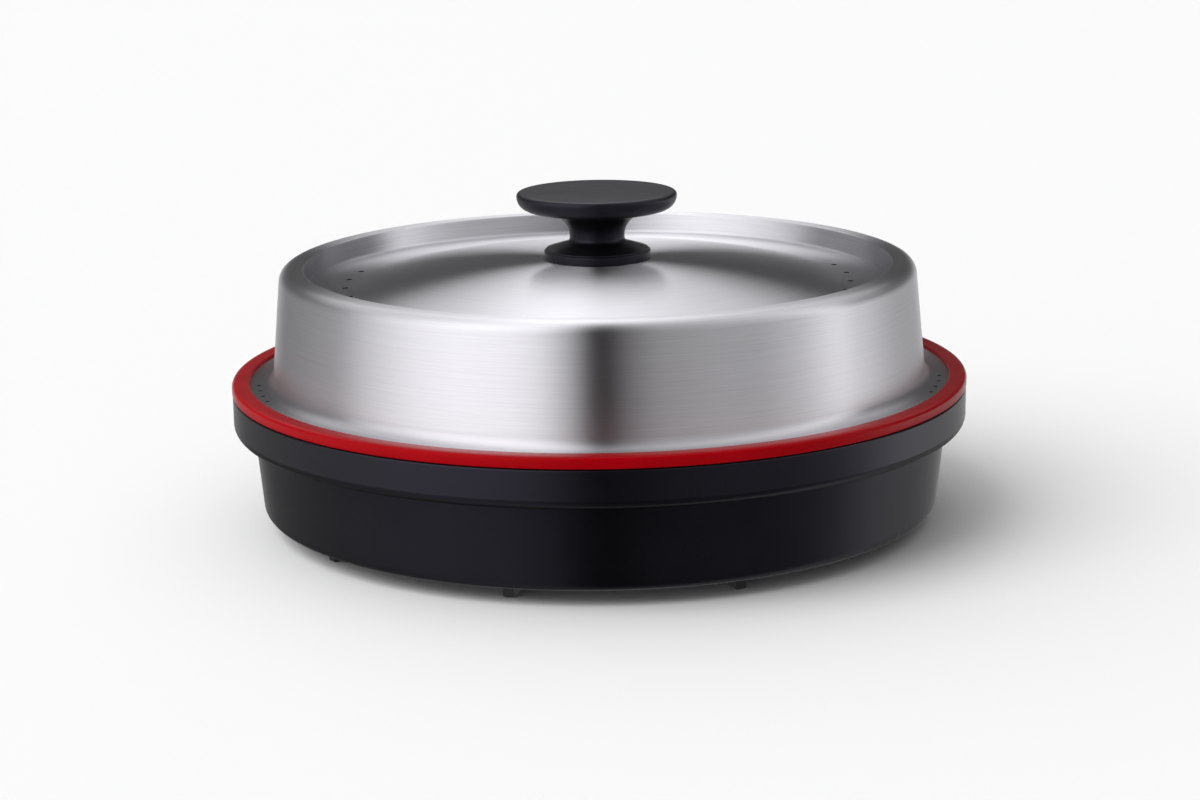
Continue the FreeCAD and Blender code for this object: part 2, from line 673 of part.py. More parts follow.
# Inlet housing: a thermoset socket that keeps fingers off the pins, set in the shell's rear opening.
housing = piece("inlet_housing")
block(housing, "Additive", ("-inlet_wide / 2", "inlet_wide / 2"), ("inlet_inner", "inlet_outer"),
      ("inlet_low", "inlet_top"))
block(housing, "Subtractive", ("-inlet_wide / 2 + inlet_wall", "inlet_wide / 2 - inlet_wall"),
      ("inlet_inner + inlet_wall", "inlet_outer + over"),
      ("inlet_low + inlet_wall", "inlet_top - inlet_wall"))
cylinder(housing, "Subtractive", "probe_slot", "inlet_inner - over", "inlet_wall + 2 * over", "0",
         "probe_mid", lying=True)
for sign in ("-", ""):
    cylinder(housing, "Subtractive", "insulator_rad + slip", "inlet_inner - over",
             "inlet_wall + 2 * over", sign + "pin_pitch / 2", "heat_mid", lying=True)
    cylinder(housing, "Subtractive", "screw_hole", "inlet_low - over", "inlet_wall + 2 * over",
             sign + "inlet_screw_half", "inlet_screw_y")

# Sprung saddle: an aluminium block on the probe tube, pressed up towards the plate by a leaf spring.
saddle = piece("sensor_saddle")
saddle_ends = ("saddle_from", "saddle_from + saddle_long")
block(saddle, "Additive", ("-saddle_half", "saddle_half"), saddle_ends,
      ("saddle_low", "plate_low - heat_gap"))
block(saddle, "Additive", ("-lug_half", "lug_half"), saddle_ends, ("saddle_low", "saddle_low + lug_tall"))
cylinder(saddle, "Subtractive", "tube_rad + slip", "tube_inner", "saddle_long", "0", "probe_mid",
         lying=True)
tube = piece("probe_tube")
cylinder(tube, "Additive", "tube_rad", "tube_inner", "tube_outer - tube_inner", "0", "probe_mid", lying=True)
cylinder(tube, "Subtractive", "tube_bore", "tube_inner + tube_tip", "tube_outer - tube_inner", "0",
         "probe_mid", lying=True)

# Saddle bracket: a folded guide riveted to the reflector, whose tabs stop the saddle's lugs.
guide = piece("saddle_bracket")
guide_ends = ("saddle_from + guide_inset", "saddle_from + saddle_long - guide_inset")
ear_in = "lug_half + guide_gap"
block(guide, "Additive", ("-saddle_foot", "saddle_foot"), guide_ends,
      ("reflector_top", "reflector_top + bracket_thick"))
ear = block(guide, "Additive", (ear_in, ear_in + " + bracket_thick"), guide_ends,
            ("reflector_top", "saddle_low + lug_tall + guide_gap + bracket_thick"))
tab = block(guide, "Additive", ("saddle_half + guide_gap", ear_in + " + bracket_thick"), guide_ends,
            ("saddle_low + lug_tall + guide_gap", "saddle_low + lug_tall + guide_gap + bracket_thick"))
well = cylinder(guide, "Subtractive", "rivet_rad + slip", "reflector_top - over", "bracket_thick + 2 * over",
                "rivet_x", "saddle_mid")
mirrored(guide, [ear, tab, well])

leaf = piece("saddle_spring")
leaf_rise = "(saddle_low - reflector_top - bracket_thick)"
leaf_low = "reflector_top + bracket_thick"
leaf_bow = "((leaf_long / 2) ^ 2 + %s ^ 2) / (2 * %s)" % (leaf_rise, leaf_rise)
sketch = outline(leaf, "YZ_Plane", [
    ("saddle_mid - leaf_long / 2", leaf_low),
    ("saddle_mid + leaf_long / 2", leaf_low, "-(%s)" % leaf_bow),
    ("saddle_mid + leaf_long / 2 - leaf_thick", leaf_low),
    ("saddle_mid - leaf_long / 2 + leaf_thick", leaf_low, "%s - leaf_thick" % leaf_bow),
])
strip = leaf.newObject("PartDesign::Pad", "leaf_strip")
strip.Profile = sketch
strip.setExpression("Length", sized("leaf_wide"))
strip.Midplane = True
doc.recompute()

# Griddle plate: cast aluminium, with a gutter round the cooking surface and a flange that drops on
# the shell's ledge. A raised ring underneath lies just over the element.
plate = turned("griddle_plate", [
    ("0", "plate_low"),
    ("element_rad - heat_half", "plate_low"),
    ("element_rad - heat_half", "heat_low"),
    ("element_rad + heat_half", "heat_low"),
    ("element_rad + heat_half", "plate_low"),
    ("bowl_rad - bowl_draft + bowl_wall", "plate_low"),
    ("bowl_rad + bowl_wall", "flange_low"),
    ("flange_rad", "flange_low"),
    ("flange_rad", "flange_top"),
    ("bowl_rad", "flange_top"),
    ("bowl_rad - bowl_draft", "cook_top - gutter_deep"),
    ("bowl_rad - bowl_draft - gutter_wide + gutter_deep", "cook_top - gutter_deep"),
    ("bowl_rad - bowl_draft - gutter_wide", "cook_top"),
    ("0", "cook_top"),
])
rounded(plate, "plate_thick", [("bowl_rad - bowl_draft + bowl_wall", "plate_low")])
rounded(plate, "bowl_wall", [("bowl_rad - bowl_draft", "cook_top - gutter_deep")])
rounded(plate, "flange_thick / 2", [("bowl_rad + bowl_wall", "flange_low"), ("bowl_rad", "flange_top")])
rounded(plate, "flange_thick / 3", [("flange_rad", "flange_low"), ("flange_rad", "flange_top")])

# Lid: pressed from one steel sheet, with a flange, a tall wall, a flat land and a recessed domed top.
dome_bow = "(((dome_rad - dome_flat) ^ 2 + dome_rise ^ 2) / (2 * dome_rise))"
lid = turned("lid_shell", [
    ("stud_rad + stud_hole_gap", "hub_z - sheet"),
    ("dome_flat", "hub_z - sheet"),
    ("dome_rad", "panel_z - sheet", "-%s" % dome_bow),
    ("panel_rad + sheet", "panel_z - sheet"),
    ("land_in + sheet", "crest_z - sheet"),
    ("lid_top - sheet", "crest_z - sheet"),
    ("lid_foot - sheet", "flange_z"),
    ("lid_edge", "flange_z"),
    ("lid_edge", "skirt_z"),
    ("lid_foot", "skirt_z"),
    ("lid_top", "crest_z"),
    ("land_in", "crest_z"),
    ("panel_rad", "panel_z"),
    ("dome_rad", "panel_z"),
    ("dome_flat", "hub_z", dome_bow),
    ("stud_rad + stud_hole_gap", "hub_z"),
])
rounded(lid, "lid_corner", [("lid_top", "crest_z")])
rounded(lid, "lid_corner - sheet", [("lid_top - sheet", "crest_z - sheet")])
rounded(lid, "3 * sheet", [("lid_foot", "skirt_z"), ("panel_rad + sheet", "panel_z - sheet")])
rounded(lid, "4 * sheet", [("lid_foot - sheet", "flange_z")])
rounded(lid, "2 * sheet", [("panel_rad", "panel_z")])
rounded(lid, "sheet", [("land_in", "crest_z")])
rounded(lid, "dome_blend", [("dome_rad", "panel_z")])
rounded(lid, "dome_blend + sheet", [("dome_rad", "panel_z - sheet")])
vents = []
for step in range(int(worth("vent_count"))):
    vents.append(cylinder(lid, "Subtractive", "vent_rad", "panel_z - sheet - over", "dome_rise",
                          *spun("vent_ring", "180 + (%d - (vent_count - 1) / 2) * vent_pitch" % step)))
for step in range(int(worth("flange_vent_count"))):
    turn = "180 + flange_vent_from + %d * flange_vent_pitch" % step
    vents.append(cylinder(lid, "Subtractive", "flange_vent_rad", "flange_z - over", "sheet + 2 * over",
                          *spun("flange_vent_ring", turn)))
mirrored(lid, vents)

# Lid seal: a silicone ring gripping the flange's edge. Its underside closes on the shell's band.
seal_in = "ring_rad - seal_wide"
seal_low = "band_top + seal_gap"
seal_deep = "lid_edge + seal_slip * 2"
seal = turned("lid_gasket", [
    (seal_in, seal_low),
    ("ring_rad", seal_low),
    ("ring_rad", seal_low + " + seal_tall"),
    (seal_in, seal_low + " + seal_tall"),
    (seal_in, "skirt_z + seal_slip"),
    (seal_deep, "skirt_z + seal_slip"),
    (seal_deep, "flange_z - seal_slip"),
    (seal_in, "flange_z - seal_slip"),
])
rounded(seal, "seal_tall * 2 / 5", [("ring_rad", seal_low + " + seal_tall")])
rounded(seal, "seal_tall / 5", [(seal_in, seal_low + " + seal_tall"), ("ring_rad", seal_low)])

# Knob: a matt moulding on a separate collar, with a brass insert for the screw through the lid.
collar = turned("knob_collar", [
    ("stud_rad + collar_hole_gap", "hub_z"),
    ("collar_rad", "hub_z"),
    ("collar_rad", "knob_low"),
    ("stud_rad + collar_hole_gap", "knob_low"),
])
rounded(collar, "collar_tall / 6", [("collar_rad", "hub_z"), ("collar_rad", "knob_low")])
turned("knob", [
    ("insert_rad + slip", "knob_low"),
    ("shoulder_rad", "knob_low"),
    ("shoulder_rad", "knob_low + shoulder_low"),
    ("shoulder_top_rad", "knob_low + shoulder_high"),
    ("waist_rad", "knob_low + waist_low", "-waist_curve"),
    ("waist_rad", "knob_low + waist_high"),
    ("waist_rad + neck_flare", "knob_top - neck_drop", "-neck_curve"),
    ("knob_rad - under_inset", "knob_top - under_drop"),
    ("knob_rad", "knob_top - rim_drop", "under_curve"),
    ("knob_rad - rim_inset", "knob_top", "rim_curve"),
    ("0", "knob_top"),
    ("0", "knob_low + insert_long + slip"),
    ("insert_rad + slip", "knob_low + insert_long + slip"),
])
turned("knob_insert", [
    ("stud_rad + slip", "knob_low + insert_sunk"),
    ("insert_rad", "knob_low + insert_sunk"),
    ("insert_rad", "knob_low + insert_long"),
    ("stud_rad + slip", "knob_low + insert_long"),
])
turned("lid_washer", [
    ("stud_rad + slip", "stud_seat"),
    ("washer_rad", "stud_seat"),
    ("washer_rad", "hub_z - sheet"),
    ("stud_rad + slip", "hub_z - sheet"),
])
stud = turned("lid_screw", [
    ("0", "stud_seat - stud_head_tall"),
    ("stud_head", "stud_seat - stud_head_tall"),
    ("stud_head", "stud_seat"),
    ("stud_rad", "stud_seat"),
    ("stud_rad", "stud_seat + stud_long"),
    ("0", "stud_seat + stud_long"),
])
cross = ("stud_head * drive_share", "drive_wide")
for half_x, half_y in (cross, cross[::-1]):
    block(stud, "Subtractive", ("-" + half_x, half_x), ("-" + half_y, half_y),
          ("stud_seat - stud_head_tall - over", "stud_seat - stud_head_tall / 2"))

doc.recompute()
failed = [thing.Label for thing in doc.Objects if "Invalid" in thing.State or "Error" in thing.State]
if failed:
    raise RuntimeError("failed: " + ", ".join(failed))
for body in PIECES:
    if body.Shape.isNull() or not body.Shape.isValid():
        raise RuntimeError("no valid shape: " + body.Label)
os.makedirs("parts", exist_ok=True)
for body in PIECES:
    body.Shape.exportStep("parts/" + body.Label + ".step")
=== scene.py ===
import math

import bmesh
import bpy
from mathutils import Matrix, Vector


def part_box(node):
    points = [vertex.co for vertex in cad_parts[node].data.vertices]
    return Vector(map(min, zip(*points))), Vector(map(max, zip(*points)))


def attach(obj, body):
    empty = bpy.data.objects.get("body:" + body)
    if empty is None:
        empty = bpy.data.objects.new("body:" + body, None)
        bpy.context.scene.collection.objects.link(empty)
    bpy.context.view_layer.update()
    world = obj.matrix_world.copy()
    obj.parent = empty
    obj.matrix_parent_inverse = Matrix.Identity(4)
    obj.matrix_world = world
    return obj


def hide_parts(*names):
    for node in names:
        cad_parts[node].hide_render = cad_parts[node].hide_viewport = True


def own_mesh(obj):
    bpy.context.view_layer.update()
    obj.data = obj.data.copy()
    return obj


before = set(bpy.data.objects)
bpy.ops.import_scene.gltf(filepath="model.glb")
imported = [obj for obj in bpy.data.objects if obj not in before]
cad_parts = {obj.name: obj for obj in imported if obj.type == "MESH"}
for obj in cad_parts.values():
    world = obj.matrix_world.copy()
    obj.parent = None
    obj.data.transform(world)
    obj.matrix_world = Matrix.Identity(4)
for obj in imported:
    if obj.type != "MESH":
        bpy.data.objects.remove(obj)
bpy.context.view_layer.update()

# ---------------------------------------------------------------------------------------------
# Base shell. One injection moulding in glass-filled black PBT: a tapered tub, a wider band round
# the top with the plate's ledge inside it, and a bezel round the socket at the back.
MM = 0.001
NOISE_LOW = 0.3         # a noise mostly keeps between these two
NOISE_HIGH = 0.7


def tint(code):
    """A linear colour, with alpha, from an sRGB hex value."""
    parts = [int(code[place:place + 2], 16) / 255 for place in (1, 3, 5)]
    linear = [part / 12.92 if part <= 0.04045 else ((part + 0.055) / 1.055) ** 2.4
              for part in parts]
    return (*linear, 1.0)


def add(tree, kind, values=None, links=None, **settings):
    """Adds a node: input values, links from the sockets that feed its inputs, and its settings."""
    node = tree.nodes.new(kind)
    for name, setting in settings.items():
        setattr(node, name, setting)
    for name, number in (values or {}).items():
        node.inputs[name].default_value = number
    for name, source in (links or {}).items():
        tree.links.new(source, node.inputs[name])
    return node


def material(name, colour, values):
    """A new material of one Principled shader, with its tree and shader."""
    made = bpy.data.materials.new(name)
    made.use_nodes = True
    made.diffuse_color = tint(colour)
    shader = made.node_tree.nodes["Principled BSDF"]
    for socket, number in values.items():
        shader.inputs[socket].default_value = number
    return made, made.node_tree, shader


def between(tree, factor, colours, low=NOISE_LOW, high=NOISE_HIGH):
    """A colour that runs between two hex values as the factor goes from low to high."""
    node = add(tree, "ShaderNodeValToRGB", links={"Fac": factor})
    for element, colour, place in zip(node.color_ramp.elements, colours, (low, high)):
        element.color = tint(colour)
        element.position = place
    return node.outputs["Color"]


def ranged(tree, factor, low, high):
    """A number that runs from low to high over the middle of a noise's range."""
    node = add(tree, "ShaderNodeMapRange",
               {"From Min": NOISE_LOW, "From Max": NOISE_HIGH, "To Min": low, "To Max": high},
               {"Value": factor})
    return node.outputs["Result"]


def surface(name, colours, gloss, patch_mm, speck_mm, relief_mm, drawn=(1, 1, 1), **sockets):
    """A finish whose colour and roughness drift in soft patches over a fine relief. A small
    number in drawn pulls the relief out into lines along that axis."""
    values = {socket.replace("_", " "): number for socket, number in sockets.items()}
    made, tree, shader = material(name, colours[0], values)
    place = add(tree, "ShaderNodeTexCoord").outputs["Object"]
    patch = add(tree, "ShaderNodeTexNoise", {"Scale": 1 / (patch_mm * MM), "Detail": 3.0},
                {"Vector": place})
    pulled = add(tree, "ShaderNodeVectorMath", {1: drawn}, {0: place}, operation="MULTIPLY")
    speck = add(tree, "ShaderNodeTexNoise", {"Scale": 1 / (speck_mm * MM), "Detail": 2.0},
                {"Vector": pulled.outputs["Vector"]})
    relief = add(tree, "ShaderNodeBump", {"Distance": relief_mm * MM},
                 {"Height": speck.outputs["Fac"]})
    tree.links.new(between(tree, patch.outputs["Fac"], colours), shader.inputs["Base Color"])
    tree.links.new(ranged(tree, patch.outputs["Fac"], *gloss), shader.inputs["Roughness"])
    tree.links.new(relief.outputs["Normal"], shader.inputs["Normal"])
    return made


def coat(finish, *nodes):
    """Gives CAD nodes their finish."""
    for node in nodes:
        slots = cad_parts[node].data.materials
        slots.clear()
        slots.append(finish)


# PBT from a spark-eroded mould: an even satin grain, here 0.5 mm instead of 0.05 mm so that it
# shows. The eye gets a deep black that only lights up towards its edges, with a cool sheen.
COOL_SHEEN = tint("#e2dcff")
shell_plastic = surface("black PBT, spark eroded", ("#060607", "#09090b"), (0.24, 0.28), 25, 0.5,
                        0.003, Specular_IOR_Level=0.34, Specular_Tint=COOL_SHEEN)
coat(shell_plastic, "base_shell")

# ---------------------------------------------------------------------------------------------
# Feet. Nine blocks of moulded silicone rubber, each pulled by its mushroom stem into a hole in the
# floor. Rubber from a sand-blasted mould scatters the light and shows next to no reflection.
foot_rubber = surface("black silicone rubber, matt", ("#0d0d0e", "#121213"), (0.6, 0.7), 4, 0.7, 0.02)
coat(foot_rubber, *["foot_%d" % number for number in range(1, 10)])

# ---------------------------------------------------------------------------------------------
# Bottom cover and its screws. A blanked steel disc with a ring of cooling slots, let into the
# floor. Stove enamel gives it a hard semi-gloss black with a slight orange peel of about 2 mm.
cover_enamel = surface("black stove enamel on steel", ("#141416", "#18181b"), (0.26, 0.34), 12,
                       2.0, 0.012)
coat(cover_enamel, "bottom_cover")

# Zinc plate with a blue passivation: bright, slightly cold, and cloudy over a few millimetres.
zinc_plate = surface("zinc plate, blue passivated", ("#a3a8ae", "#bfc2c4"), (0.25, 0.40), 3, 0.8,
                     0.004, Metallic=1.0)
coat(zinc_plate, "cover_screws", "reflector_screws", "inlet_screws")

# ---------------------------------------------------------------------------------------------
# Heat reflector, with the element's three brackets and the saddle's bracket riveted to it. All
# are pressed from aluminised steel sheet, which throws the heat up at the plate.
SPANGLE_MM = 6.0
SPANGLE_RELIEF_MM = 0.01

# Hot-dipped aluminium freezes in flat crystals some 6 mm across: the eye gets a bright sheet whose
# patches tilt the light a little differently.
aluminised, tree, shader = material("aluminised steel, as rolled", "#c4c5c3", {"Metallic": 1.0})
place = add(tree, "ShaderNodeTexCoord").outputs["Object"]
crystal = add(tree, "ShaderNodeTexVoronoi", {"Scale": 1 / (SPANGLE_MM * MM)}, {"Vector": place})
shade = add(tree, "ShaderNodeSeparateColor", links={"Color": crystal.outputs["Color"]})
relief = add(tree, "ShaderNodeBump", {"Distance": SPANGLE_RELIEF_MM * MM},
             {"Height": shade.outputs["Red"]})
tree.links.new(between(tree, shade.outputs["Green"], ("#b4b5b3", "#cdcdca"), 0, 1),
               shader.inputs["Base Color"])
tree.links.new(ranged(tree, shade.outputs["Blue"], 0.24, 0.36), shader.inputs["Roughness"])
tree.links.new(relief.outputs["Normal"], shader.inputs["Normal"])
coat(aluminised, "heat_reflector", "saddle_bracket", "element_bracket_1", "element_bracket_2",
     "element_bracket_3")

# Rivets of mild steel wire with the same bright zinc as the screws.
coat(zinc_plate, "bracket_rivets", "saddle_rivets")

# ---------------------------------------------------------------------------------------------
# Heating element. A nickel-steel tube packed with magnesia, rolled into a ring and swaged on the
# cold ends. Bright annealing and the first heats leave a dull grey brown with darker clouds.
sheath = surface("nickel steel, heat darkened", ("#2b2724", "#4d463f"), (0.42, 0.60), 9, 0.6, 0.006,
                 Metallic=0.9)
coat(sheath, "heating_element")

# ---------------------------------------------------------------------------------------------
# Terminals. Turned brass pins with a polished nickel plate, each in a bush of pressed steatite,
# whose fired but unglazed body is ivory and dry to the eye.
nickel = surface("nickel plate, polished", ("#bdb7aa", "#cdc8bd"), (0.14, 0.22), 5, 0.5, 0.002,
                 Metallic=1.0)
coat(nickel, "terminal_pin_left", "terminal_pin_right")
steatite = surface("steatite, unglazed", ("#d6cdba", "#e3dccb"), (0.6, 0.75), 3, 0.4, 0.015)
coat(steatite, "pin_insulator_left", "pin_insulator_right")

# Inlet housing. A compression moulding in black phenolic, slightly glossier inside the socket
# than the shell, with the faint mottle of its wood-flour filler.
phenolic_socket = surface("black phenolic, moulded", ("#0c0c0d", "#151412"), (0.34, 0.44), 2.5,
                          0.8, 0.006)
coat(phenolic_socket, "inlet_housing")

# ---------------------------------------------------------------------------------------------
# Sensor saddle, probe tube and leaf spring. The tube takes the control's probe, and the spring
# presses its saddle up to the plate.

# Drawn stainless tube keeps fine die lines along its length: a long soft highlight.
drawn_tube = surface("stainless tube, drawn", ("#b3b2af", "#c6c5c2"), (0.20, 0.30), 20, 0.6,
                     0.003, (1, 0.04, 1), Metallic=1.0)
coat(drawn_tube, "probe_tube")

# Sawn and milled aluminium bar shows its cutter's lines across, 0.8 mm apart.
milled = surface("aluminium bar, milled", ("#b6b8ba", "#cbccce"), (0.28, 0.40), 6, 0.8, 0.006,
                 (0.05, 1, 1), Metallic=1.0)
coat(milled, "sensor_saddle")

# Spring steel tempered in air takes a thin blue oxide over a rolled surface.
blued = surface("spring steel, blued", ("#2e3646", "#434b5e"), (0.24, 0.34), 5, 0.5, 0.003,
                (1, 0.05, 1), Metallic=1.0)
coat(blued, "saddle_spring")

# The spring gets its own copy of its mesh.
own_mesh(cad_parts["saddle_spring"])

# ---------------------------------------------------------------------------------------------
# Griddle plate. Die-cast aluminium with a gutter, sprayed with a three-layer PTFE coat and baked:
# charcoal, with fine mineral flecks and a pebbled satin surface.
FLECK_MM = 0.9
PEBBLE_MM = 0.6
PEBBLE_RELIEF_MM = 0.02

nonstick, tree, shader = material("PTFE coat on cast aluminium", "#1b1b1c",
                                  {"Specular IOR Level": 0.45})
place = add(tree, "ShaderNodeTexCoord").outputs["Object"]
fleck = add(tree, "ShaderNodeTexVoronoi", {"Scale": 1 / (FLECK_MM * MM)}, {"Vector": place})
pebble = add(tree, "ShaderNodeTexNoise", {"Scale": 1 / (PEBBLE_MM * MM), "Detail": 2.0},
             {"Vector": place})
shade = add(tree, "ShaderNodeSeparateColor", links={"Color": fleck.outputs["Color"]})
relief = add(tree, "ShaderNodeBump", {"Distance": PEBBLE_RELIEF_MM * MM},
             {"Height": pebble.outputs["Fac"]})
tree.links.new(between(tree, shade.outputs["Red"], ("#151516", "#3a3a3b"), 0.9, 0.98),
               shader.inputs["Base Color"])
tree.links.new(ranged(tree, pebble.outputs["Fac"], 0.30, 0.42), shader.inputs["Roughness"])
tree.links.new(relief.outputs["Normal"], shader.inputs["Normal"])
coat(nonstick, "griddle_plate")

# ---------------------------------------------------------------------------------------------
# Lid. Deep-drawn and spun from one 0.8 mm sheet of stainless steel: a flange, a tall wall, a flat
# land and a recessed top with a low dome. Four steam vents are pierced at each side of the top,
# and four small ones at each side of the flange.
SHEET = 0.8
AROUND = 288            # steps round the axis, so that its edge reads as a true circle
SHARP_EDGE = math.radians(30)
LID_FOOT = 133.4        # radius of the wall's foot
LID_SHOULDER = 129.05   # and of its top
CREST_RISE = 46.8
HEEL = 4.9              # rounding where the wall meets the flange
CREST_CURVE = 5.0       # rounding between the wall and the land on top
LAND_IN = 119.4
RECESS_DEEP = 8.7
RECESS_FOOT = 118.2
DOME_FOOT = 100.2
DOME_FLAT = 24.0
DOME_BLEND = 40.0       # rounding between the dome and the flat round it
DOME_TRIM = 6.0         # the dome's arc ends this far short of its foot
DOME_STEPS = 20
SCREW_HOLE = 2.82
TOP_VENT = 1.35         # radius of a vent in the top
TOP_VENT_RING = 102.8
TOP_VENT_STEP = 10.5    # degrees between vents
FLANGE_VENT = 0.9
FLANGE_VENT_RING = 139.0
FLANGE_VENT_FROM = 7.1
FLANGE_VENT_STEP = 4.1
VENTS = 4               # in each row
NEAR = 1e-6             # closer to the axis than this counts as on it


def softened(corners, steps=7):
    """A closed outline in metres from (radius, height, rounding) corners in mm."""
    points = []
    for index, (radius, height, rounding) in enumerate(corners):
        here = Vector((radius, height))
        if rounding == 0:
            points.append(here * MM)
            continue
        back = (Vector(corners[index - 1][:2]) - here).normalized()
        ahead = (Vector(corners[(index + 1) % len(corners)][:2]) - here).normalized()
        half = back.angle(ahead) / 2
        centre = here + (back + ahead).normalized() * (rounding / math.sin(half))
        start = here + back * (rounding / math.tan(half)) - centre
        stop = here + ahead * (rounding / math.tan(half)) - centre
        turn = start.angle_signed(stop)
        for step in range(steps + 1):
            points.append((centre + Matrix.Rotation(-turn * step / steps, 2) @ start) * MM)
    return points


def spun(name, outline):
    """A mesh object spun about the upright axis from a closed outline of (radius, height) points.
    Points on the axis close the piece there."""
    made = bmesh.new()
    rings = []
    for point in outline:
        if point.x < NEAR:
            rings.append([made.verts.new((0, 0, point.y))] * AROUND)
            continue
        turns = [2 * math.pi * step / AROUND for step in range(AROUND)]
        rings.append([made.verts.new((point.x * math.cos(turn), point.x * math.sin(turn), point.y))
                      for turn in turns])
    for index, ring in enumerate(rings):
        after = rings[(index + 1) % len(rings)]
        for step in range(AROUND):
            following = (step + 1) % AROUND
            corners = [ring[step], ring[following], after[following], after[step]]
            unlike = list(dict.fromkeys(corners))
            if len(unlike) > 2:
                made.faces.new(unlike)
    bmesh.ops.recalc_face_normals(made, faces=made.faces)
    mesh = bpy.data.meshes.new(name)
    made.to_mesh(mesh)
    made.free()
    piece = bpy.data.objects.new(name, mesh)
    bpy.context.scene.collection.objects.link(piece)
    return piece


def placed(piece, finish, body, node):
    """Shades a new piece smooth between its sharp edges, gives it its finish, hangs it on its body
    and hides the CAD node that it takes the place of."""
    mesh = piece.data
    for polygon in mesh.polygons:
        polygon.use_smooth = True
    mesh.set_sharp_from_angle(angle=SHARP_EDGE)
    mesh.materials.clear()
    mesh.materials.append(finish)
    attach(piece, body)
    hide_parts(node)


def pierced(piece, holes, radius, height):
    """Drills upright holes through the sheet at a height. Holes are (x, y) in mm."""
    drill = bmesh.new()
    for x, y in holes:
        bmesh.ops.create_cone(
            drill, cap_ends=True, segments=20, radius1=radius * MM, radius2=radius * MM,
            depth=8 * SHEET * MM, matrix=Matrix.Translation(Vector((x, y, height)) * MM))
    bits_mesh = bpy.data.meshes.new("drill")
    drill.to_mesh(bits_mesh)
    drill.free()
    bits = bpy.data.objects.new("drill", bits_mesh)
    bpy.context.scene.collection.objects.link(bits)
    cut = piece.modifiers.new("holes", "BOOLEAN")
    cut.object = bits
    cut.solver = "EXACT"
    whole = piece.evaluated_get(bpy.context.evaluated_depsgraph_get())
    piece.data = bpy.data.meshes.new_from_object(whole)
    piece.modifiers.clear()
    bpy.data.objects.remove(bits)


flange_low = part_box("lid_shell")[0][2] / MM
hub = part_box("lid_shell")[1][2] / MM
flange_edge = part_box("lid_shell")[1][0] / MM
flange_top = flange_low + SHEET
crest = flange_top + CREST_RISE
panel = crest - RECESS_DEEP
dome_rise = hub - panel
dome_bow = ((DOME_FOOT - DOME_FLAT) ** 2 + dome_rise ** 2) / (2 * dome_rise)


def dome(lower):
    """The dome's arc, from its flat top outwards, on a face that lies lower by a thickness."""
    spots = []
    for step in range(1, DOME_STEPS):
        radius = DOME_FLAT + (DOME_FOOT - DOME_TRIM - DOME_FLAT) * step / DOME_STEPS
        fall = dome_bow - math.sqrt(dome_bow ** 2 - (radius - DOME_FLAT) ** 2)
        spots.append((radius, hub - fall - lower, 0))
    return spots


lid = spun("lid_steel", softened([
    (SCREW_HOLE, hub - SHEET, 0), (DOME_FLAT, hub - SHEET, 0), *dome(SHEET),
    (DOME_FOOT, panel - SHEET, DOME_BLEND + SHEET), (RECESS_FOOT + SHEET, panel - SHEET, 3 * SHEET),
    (LAND_IN + SHEET, crest - SHEET, 0), (LID_SHOULDER - SHEET, crest - SHEET, CREST_CURVE - SHEET),
    (LID_FOOT - SHEET, flange_low, HEEL + SHEET), (flange_edge, flange_low, 0),
    (flange_edge, flange_top, 0), (LID_FOOT, flange_top, HEEL), (LID_SHOULDER, crest, CREST_CURVE),
    (LAND_IN, crest, SHEET), (RECESS_FOOT, panel, 2 * SHEET), (DOME_FOOT, panel, DOME_BLEND),
    *dome(0)[::-1], (DOME_FLAT, hub, 0), (SCREW_HOLE, hub, 0)]))

top_vents = []
flange_vents = []
for side in (-1, 1):
    for step in range(VENTS):
        turn = math.radians((step - (VENTS - 1) / 2) * TOP_VENT_STEP)
        top_vents.append((side * TOP_VENT_RING * math.cos(turn), TOP_VENT_RING * math.sin(turn)))
        turn = math.radians(FLANGE_VENT_FROM + step * FLANGE_VENT_STEP)
        flange_vents.append((side * FLANGE_VENT_RING * math.cos(turn),
                             -FLANGE_VENT_RING * math.sin(turn)))
pierced(lid, top_vents, TOP_VENT, panel)
pierced(lid, flange_vents, FLANGE_VENT, flange_low)

# Stainless steel brushed while it turned. The lines run round it, so the eye gets highlights drawn
# out across them: upright bands on the wall, and fans of light on the top. Real lines are 0.05 mm
# apart and are drawn 0.5 mm apart, to show.
LINE_MM = 0.5
STROKES = 3.0           # how often a line's strength changes within a radian round the lid
OUTWARD = 1.7           # how much the radius counts against the height in spacing the lines, so
#                         that the top has lines as well as the wall
LINE_RELIEF_MM = 0.0015

brushed, tree, shader = material("stainless steel, brushed round", "#d6d5d6", {
    "Metallic": 1.0, "Anisotropic": 1.0, "Anisotropic Rotation": 0.25})
place = add(tree, "ShaderNodeTexCoord").outputs["Object"]
flat = add(tree, "ShaderNodeVectorMath", {1: (1.0, 1.0, 0.0)}, {0: place}, operation="MULTIPLY")
way = add(tree, "ShaderNodeVectorMath", links={0: flat.outputs["Vector"]}, operation="NORMALIZE")
reach = add(tree, "ShaderNodeVectorMath", links={0: flat.outputs["Vector"]}, operation="LENGTH")
axes = add(tree, "ShaderNodeSeparateXYZ", links={"Vector": place})
run = add(tree, "ShaderNodeMath", {1: -OUTWARD}, {0: reach.outputs["Value"], 2: axes.outputs["Z"]},
          operation="MULTIPLY_ADD")
line = add(tree, "ShaderNodeMath", {1: 1 / (LINE_MM * MM)}, {0: run.outputs["Value"]},
           operation="MULTIPLY")
stroke = add(tree, "ShaderNodeVectorMath", {"Scale": STROKES}, {0: way.outputs["Vector"]},
             operation="SCALE")
lift = add(tree, "ShaderNodeCombineXYZ", links={"Z": line.outputs["Value"]})
spot = add(tree, "ShaderNodeVectorMath", operation="ADD", links={
    0: stroke.outputs["Vector"], 1: lift.outputs["Vector"]})
